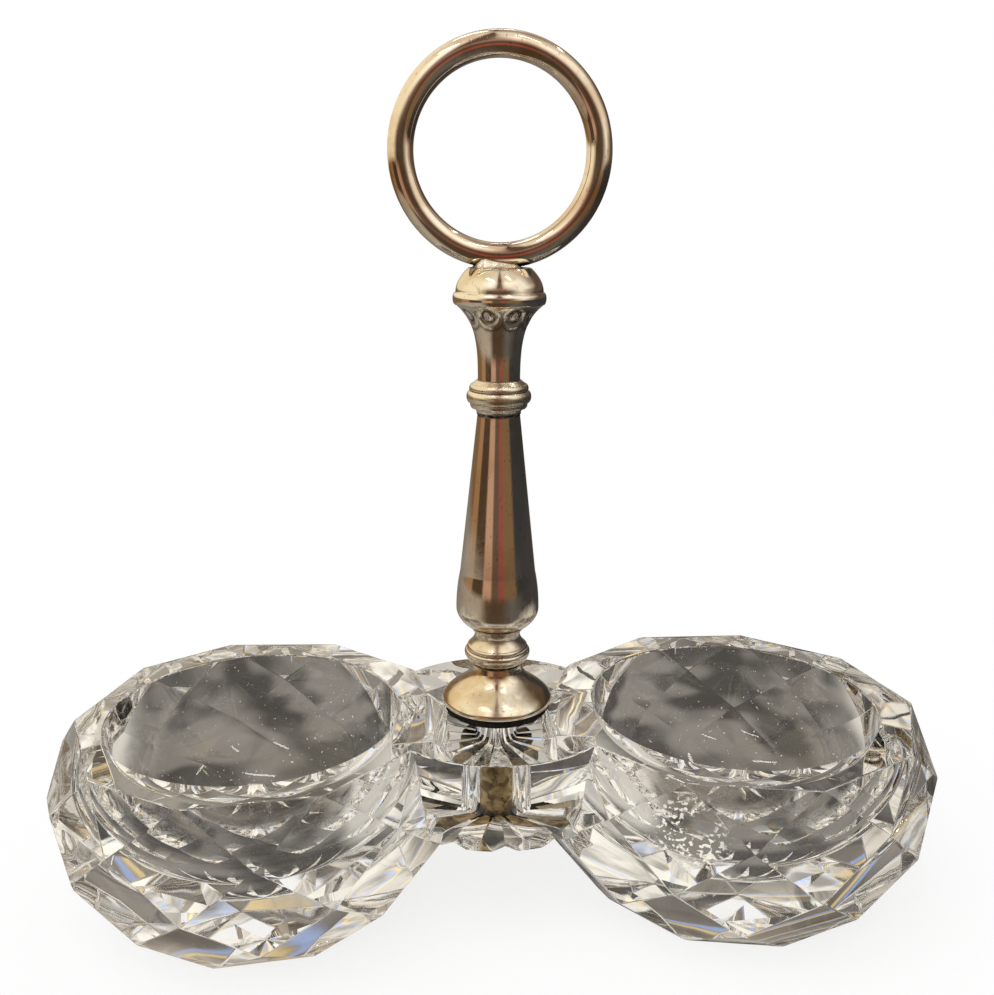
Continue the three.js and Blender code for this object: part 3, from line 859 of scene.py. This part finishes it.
CAMERA_AZIMUTH = -94.05 * DEG
ROOM_RADIUS, ROOM_HEIGHT = 320, 450
DARK, BROWN, SAND = (0.05, 0.045, 0.045), (0.11, 0.075, 0.055), (0.42, 0.36, 0.29)
WARM, PALE, LIGHT = (0.98, 0.84, 0.60), (1.05, 0.98, 0.86), (1.5, 1.42, 1.26)
SMOKE, ASH, SKY, AMBER = (0.13, 0.118, 0.105), (0.24, 0.215, 0.19), (0.55, 0.85, 1.6), (1.7, 1.25, 0.5)
COAL, PEAT, OAK = (0.04, 0.04, 0.04), (0.08, 0.05, 0.03), (0.2, 0.12, 0.06)
TAN, CLAY, BRICK, RUST = (0.35, 0.2, 0.1), (0.5, 0.3, 0.2), (0.35, 0.2, 0.15), (0.3, 0.08, 0.06)
ROSE, UMBRA = (0.78, 0.60, 0.51), (0.13, 0.085, 0.06)
SOFT, GOLDEN = (0.86, 0.79, 0.68), (0.82, 0.69, 0.48)
DAY, CLOUD = (1.14, 1.09, 0.99), (0.78, 0.735, 0.66)

# Each band of the wall has its height, and each ring of the roof its radius. Both have colours at angles
# in degrees from the camera, growing to the right of it
STRIPES = (
    (-180, ASH), (-150, OAK), (-110, OAK), (-100, TAN), (-80, TAN), (-75, PEAT), (-45, PEAT), (-40, CLAY),
    (-20, CLAY), (-15, UMBRA), (0, UMBRA), (5, RUST), (15, RUST), (20, OAK), (50, OAK), (60, COAL),
    (160, COAL), (180, ASH))
MIRROR_FLOOR = (
    (-180, ASH), (-150, ASH), (-80, SAND), (-50, SAND), (-30, PEAT), (10, PEAT), (40, SMOKE), (80, DARK),
    (150, DARK), (180, ASH))
MIRROR_BANDS = (
    (0, MIRROR_FLOOR), (25, STRIPES), (103, STRIPES),
    (125, (
        (-180, SAND), (-150, GOLDEN), (-60, WARM), (-30, PEAT), (20, PEAT), (40, SAND), (60, ROSE),
        (100, BROWN), (160, BROWN), (180, SAND))),
    (175, (
        (-180, SAND), (-150, WARM), (-60, WARM), (-30, UMBRA), (30, UMBRA), (60, PALE), (80, SAND),
        (110, BROWN), (160, BROWN), (180, SAND))),
    (230, (
        (-180, SAND), (-150, WARM), (-50, WARM), (-10, BRICK), (10, BRICK), (50, PALE), (80, PALE),
        (120, BROWN), (160, BROWN), (180, SAND))),
    (300, (
        (-180, SAND), (-150, WARM), (-60, WARM), (-24, PALE), (-12, ROSE), (-5, UMBRA), (5, UMBRA),
        (12, ROSE), (26, PALE), (75, PALE), (100, SAND), (130, BROWN), (165, BROWN), (180, SAND))),
    (ROOM_HEIGHT, (
        (-180, UMBRA), (-168, PALE), (-150, WARM), (-60, WARM), (-22, LIGHT), (-9, ROSE), (-5, UMBRA),
        (5, UMBRA), (9, ROSE), (22, LIGHT), (75, PALE), (110, SAND), (150, SAND), (172, PALE),
        (180, UMBRA))),
)
ROOF_STOPS = (
    (-180, UMBRA), (-172, SAND), (-150, SOFT), (-60, GOLDEN), (-20, SOFT), (-10, ROSE), (-6, UMBRA),
    (6, UMBRA), (10, ROSE), (20, SOFT), (75, SOFT), (130, SAND), (172, SAND), (180, UMBRA))
MIRROR_ROOF = (
    (200, ROOF_STOPS),
    (60, ROOF_STOPS),
    (1, ((-180, SAND), (180, SAND))),
)
GLASS_FLOOR = ((-180, SMOKE), (180, SMOKE))
# The narrow SKY and AMBER stops are painted rainbow glints in place of the colour fringes of the glass's
# dispersion
GLASS_BANDS = (
    (0, (
        (-180, ASH), (-120, CLOUD), (-70, SAND), (-40, ASH), (40, ASH), (70, SAND), (120, CLOUD),
        (180, ASH))),
    (30, (
        (-180, ASH), (-170, SMOKE), (-158, SAND), (-150, SMOKE), (-140, CLOUD), (-100, CLOUD), (-88, SKY),
        (-84, CLOUD), (-60, SMOKE), (0, SMOKE), (60, SMOKE), (84, CLOUD), (90, AMBER), (95, CLOUD),
        (140, CLOUD), (150, SMOKE), (160, SAND), (170, SMOKE), (180, ASH))),
    (90, (
        (-180, SMOKE), (-165, SMOKE), (-150, SMOKE), (-138, DAY), (-118, CLOUD), (-112, AMBER),
        (-108, SKY), (-100, DAY), (-60, SAND), (0, BROWN), (60, SAND), (96, CLOUD), (104, AMBER),
        (109, SKY), (116, DAY), (140, DAY), (150, SMOKE), (165, SAND), (180, SMOKE))),
    (180, (
        (-180, SAND), (-172, SMOKE), (-148, SMOKE), (-138, SAND), (-120, DAY), (-60, SAND), (-34, DAY),
        (-28, SKY), (-22, SAND), (0, BROWN), (30, SAND), (36, AMBER), (42, DAY), (100, DAY), (150, SAND),
        (180, SAND))),
    (300, ((-180, DAY), (-100, CLOUD), (-40, DAY), (0, SAND), (60, DAY), (120, CLOUD), (180, DAY))),
    (ROOM_HEIGHT, ((-180, DAY), (-60, CLOUD), (0, SAND), (50, CLOUD), (110, DAY), (180, DAY))),
)
GLASS_ROOF = ((90, ((-180, CLOUD), (180, CLOUD))),)

# Each ceiling lamp: angle from the camera, distance from the middle, length, width and turn in degrees
LAMP_TONE = (9.0, 8.6, 7.6)
LAMPS = (
    (-38, 210, 120, 16, 80),
    (42, 170, 90, 14, 10),
    (-150, 150, 110, 16, 40),
    (120, 230, 100, 14, 70),
    (178, 260, 70, 14, 90),
)

# What the glass shows of the table: its mottling, and the colour of where light falls on it, which is
# round the hub and beyond the outer ends of the bowls
TABLE_MOTTLE = ((0.08, 0.075, 0.07), (0.25, 0.232, 0.21))
TABLE_LIT = (0.88, 0.84, 0.77)
# Starts of the coloured lines on the wall, in the ripple's own measure: painted rainbow glints in place of
# the colour fringes of the glass's dispersion
LINES = ((0.36, AMBER), (0.375, SKY), (0.47, SKY), (0.485, AMBER), (0.60, AMBER), (0.615, SKY))
LINE_STRENGTH = 0.4


def colour_at(stops, angle):
    """The colour at an angle, between the two stops on its sides."""
    for (low, first), (high, second) in zip(stops, stops[1:]):
        if low <= angle <= high:
            share = (angle - low) / (high - low)
            return tuple(a + (b - a) * share for a, b in zip(first, second))
    return stops[-1][1]


def table_tone(look, wall):
    """The wall's colour in uneven streaks with thin coloured lines, and below it a mottled table."""
    mottled = look.mix(look.spread(look.noise(24, detail=1), 0.42, 0.58), *TABLE_MOTTLE)
    lit = look.spread(look.distance(0, 0), 18 * MM, 27 * MM, 0.6, 0)
    lit = look.math("MAXIMUM", lit, look.spread(look.axis("X"), -74 * MM, -92 * MM))
    lit = look.math("MAXIMUM", lit, look.spread(look.axis("X"), 84 * MM, 104 * MM))
    table = look.mix(lit, mottled, TABLE_LIT)
    streaks = look.spread(look.noise(45, detail=3, stretch=(1, 1, 3)), 0.34, 0.60, 0.5, 1.1)
    scale = look.nodes.new("ShaderNodeVectorMath")
    scale.operation = "SCALE"
    look.links.new(wall, scale.inputs[0])
    look.links.new(streaks, scale.inputs["Scale"])
    ripple = look.noise(130, detail=0, stretch=(1, 1, 2.5), shift=0.4)
    wall = scale.outputs["Vector"]
    for start, tint in LINES:
        rise = look.spread(ripple, start, start + 0.008)
        fall = look.spread(ripple, start + 0.022, start + 0.01)
        line = look.math("MULTIPLY", rise, fall)
        wall = look.mix(look.math("MULTIPLY", line, LINE_STRENGTH), wall, tint)
    return look.mix(look.spread(look.axis("Z"), 0, 2 * MM), table, wall)


def glow(name, lit_table):
    """A surface that shows its own painted colour, and lights nothing."""
    look = Look(name)
    paint = look.nodes.new("ShaderNodeAttribute")
    paint.attribute_name = "tone"
    tone = table_tone(look, paint.outputs["Color"]) if lit_table else paint.outputs["Color"]
    lamp = look.nodes.new("ShaderNodeEmission")
    look.links.new(tone, lamp.inputs["Color"])
    look.links.new(lamp.outputs[0], look.nodes["Material Output"].inputs["Surface"])
    look.material.cycles.emission_sampling = "NONE"
    return look.material


def only_seen_in(thing, metal=False, glass=False):
    """Hides the card from the camera and from matt surfaces, and casts no shadow with it."""
    thing.visible_camera = thing.visible_diffuse = thing.visible_shadow = False
    thing.visible_glossy, thing.visible_transmission = metal, glass


def room(name, floor_stops, bands, roof, **seen):
    """A round wall of the bands' colours, with a floor and a roof of rings of colour."""
    bm = bmesh.new()
    tone = bm.verts.layers.float_color.new("tone")
    step = 2

    def ring(radius, height, stops, dim=1.0):
        row = []
        for angle in range(-180, 180, step):
            turn = CAMERA_AZIMUTH + angle * DEG
            vert = bm.verts.new((radius * math.cos(turn), radius * math.sin(turn), height))
            vert[tone] = (*(dim * c for c in colour_at(stops, angle)), 1)
            row.append(vert)
        return row

    rows = [ring(radius, -0.05, floor_stops) for radius in (1, ROOM_RADIUS * 0.6)]
    rows += [ring(ROOM_RADIUS, height, stops) for height, stops in bands]
    rows += [ring(radius, ROOM_HEIGHT, stops) for radius, stops in roof]
    bridge(bm, rows)
    thing = new_object(name, bm)
    dress(thing, glow(name, seen.get("glass", False)))
    only_seen_in(thing, **seen)


def lamp_cards():
    """Small ceiling lamps, seen only as glints in the metal and on the glass."""
    for number, (angle, reach, length, width, turn) in enumerate(LAMPS):
        bm = bmesh.new()
        tone = bm.verts.layers.float_color.new("tone")
        heading = CAMERA_AZIMUTH + angle * DEG
        place_mm = Vector((reach * math.cos(heading), reach * math.sin(heading), ROOM_HEIGHT - 10))
        along = Vector((math.cos(heading + turn * DEG), math.sin(heading + turn * DEG), 0))
        across = Vector((-along.y, along.x, 0))
        corners = [place_mm + along * a * length / 2 + across * b * width / 2
                   for a, b in ((-1, -1), (1, -1), (1, 1), (-1, 1))]
        verts = [bm.verts.new(c) for c in corners]
        for vert in verts:
            vert[tone] = (*LAMP_TONE, 1)
        bm.faces.new(verts)
        thing = new_object(f"lamp_{number}", bm)
        dress(thing, glow(f"lamp_{number}", False))
        only_seen_in(thing, metal=True)


# Stage: how much of the floor's white is its own in the picture, the world's level on the object, and
# the floor's half size and depth under the object in millimetres
FLOOR_LIFT = 0.8
ROOM_LEVEL = 0.6
FLOOR_REACH = 3000
FLOOR_DROP = 0.1


def background_rays(nodes, links):
    """One for rays from the camera and for those that metal and glass send on, or else nothing."""
    path = nodes.new("ShaderNodeLightPath")
    total = path.outputs["Is Camera Ray"]
    for name in ("Is Glossy Ray", "Is Transmission Ray"):
        either = nodes.new("ShaderNodeMath")
        either.operation = "MAXIMUM"
        links.new(total, either.inputs[0])
        links.new(path.outputs[name], either.inputs[1])
        total = either.outputs[0]
    return total


def floor():
    """A white floor that keeps a faint shadow."""
    bm = bmesh.new()
    bmesh.ops.create_grid(bm, x_segments=1, y_segments=1, size=FLOOR_REACH)
    ground = new_object("floor", bm)
    ground.location.z = -FLOOR_DROP * MM
    look = Look("floor")
    look.set(Base_Color=(0.96, 0.96, 0.96), Roughness=1.0, Specular_IOR_Level=0.0)
    lamp = look.nodes.new("ShaderNodeEmission")
    blend = look.nodes.new("ShaderNodeMixShader")
    shown = look.math("MULTIPLY", background_rays(look.nodes, look.links), FLOOR_LIFT)
    look.links.new(shown, blend.inputs["Fac"])
    look.links.new(look.shader.outputs[0], blend.inputs[1])
    look.links.new(lamp.outputs[0], blend.inputs[2])
    look.links.new(blend.outputs[0], look.nodes["Material Output"].inputs["Surface"])
    look.material.cycles.emission_sampling = "NONE"
    dress(ground, look.material)


def soft_sun(name, aim, level, spread_degrees):
    """Even light from one side; a level of 1 shows a white face turned to it as white."""
    data = bpy.data.lights.new(name, "SUN")
    data.energy = math.pi * level
    data.angle = spread_degrees * DEG
    lamp = bpy.data.objects.new(name, data)
    lamp.rotation_mode = "QUATERNION"
    lamp.rotation_quaternion = Vector(aim).to_track_quat("-Z", "Y")
    lamp.visible_glossy = lamp.visible_transmission = False
    bpy.context.scene.collection.objects.link(lamp)


def world():
    """White for the background's rays, and a plain level of light for all else."""
    made = bpy.data.worlds.new("studio")
    made.use_nodes = True
    nodes, links = made.node_tree.nodes, made.node_tree.links
    shown = background_rays(nodes, links)
    level = nodes.new("ShaderNodeMapRange")
    links.new(shown, level.inputs["Value"])
    level.inputs["To Min"].default_value = ROOM_LEVEL
    nodes["Background"].inputs["Color"].default_value = (1, 1, 1, 1)
    links.new(level.outputs["Result"], nodes["Background"].inputs["Strength"])
    bpy.context.scene.world = made


def camera():
    """Where the photograph was taken from, worked out from the rims, the hub and the stem."""
    place_mm = Vector((-11.65, -164.55, 80.52 + RIM_HEIGHT))
    yaw, pitch, roll = 3.91 * DEG, 16.78 * DEG, 0.35 * DEG
    focal_px, centre_px = 1055.94, (495.45, 534.2)
    width_px, height_px = 994, 995
    data = bpy.data.cameras.new("camera")
    data.sensor_width = 36
    data.lens = focal_px / max(width_px, height_px) * data.sensor_width
    data.shift_x = (width_px / 2 - centre_px[0]) / max(width_px, height_px)
    data.shift_y = (centre_px[1] - height_px / 2) / max(width_px, height_px)
    data.clip_start = 0.01
    eye = bpy.data.objects.new("camera", data)
    eye.location = place_mm * MM
    ahead = Vector((math.sin(yaw) * math.cos(pitch), math.cos(yaw) * math.cos(pitch), -math.sin(pitch)))
    eye.rotation_mode = "QUATERNION"
    level = ahead.to_track_quat("-Z", "Y")
    eye.rotation_quaternion = Matrix.Rotation(-roll, 4, ahead).to_quaternion() @ level
    bpy.context.scene.collection.objects.link(eye)
    bpy.context.scene.camera = eye


floor()
world()
soft_sun("key", aim=(0.45, 0.5, -1), level=0.55, spread_degrees=70)
room("card_metal", MIRROR_FLOOR, MIRROR_BANDS, MIRROR_ROOF, metal=True)
room("card_glass", GLASS_FLOOR, GLASS_BANDS, GLASS_ROOF, glass=True)
lamp_cards()
camera()
bpy.context.scene.view_settings.view_transform = "Standard"
# Light crosses the cut glass many times, and facets turn black where its path is cut short
paths = bpy.context.scene.cycles
paths.max_bounces, paths.transmission_bounces, paths.glossy_bounces = 40, 40, 32
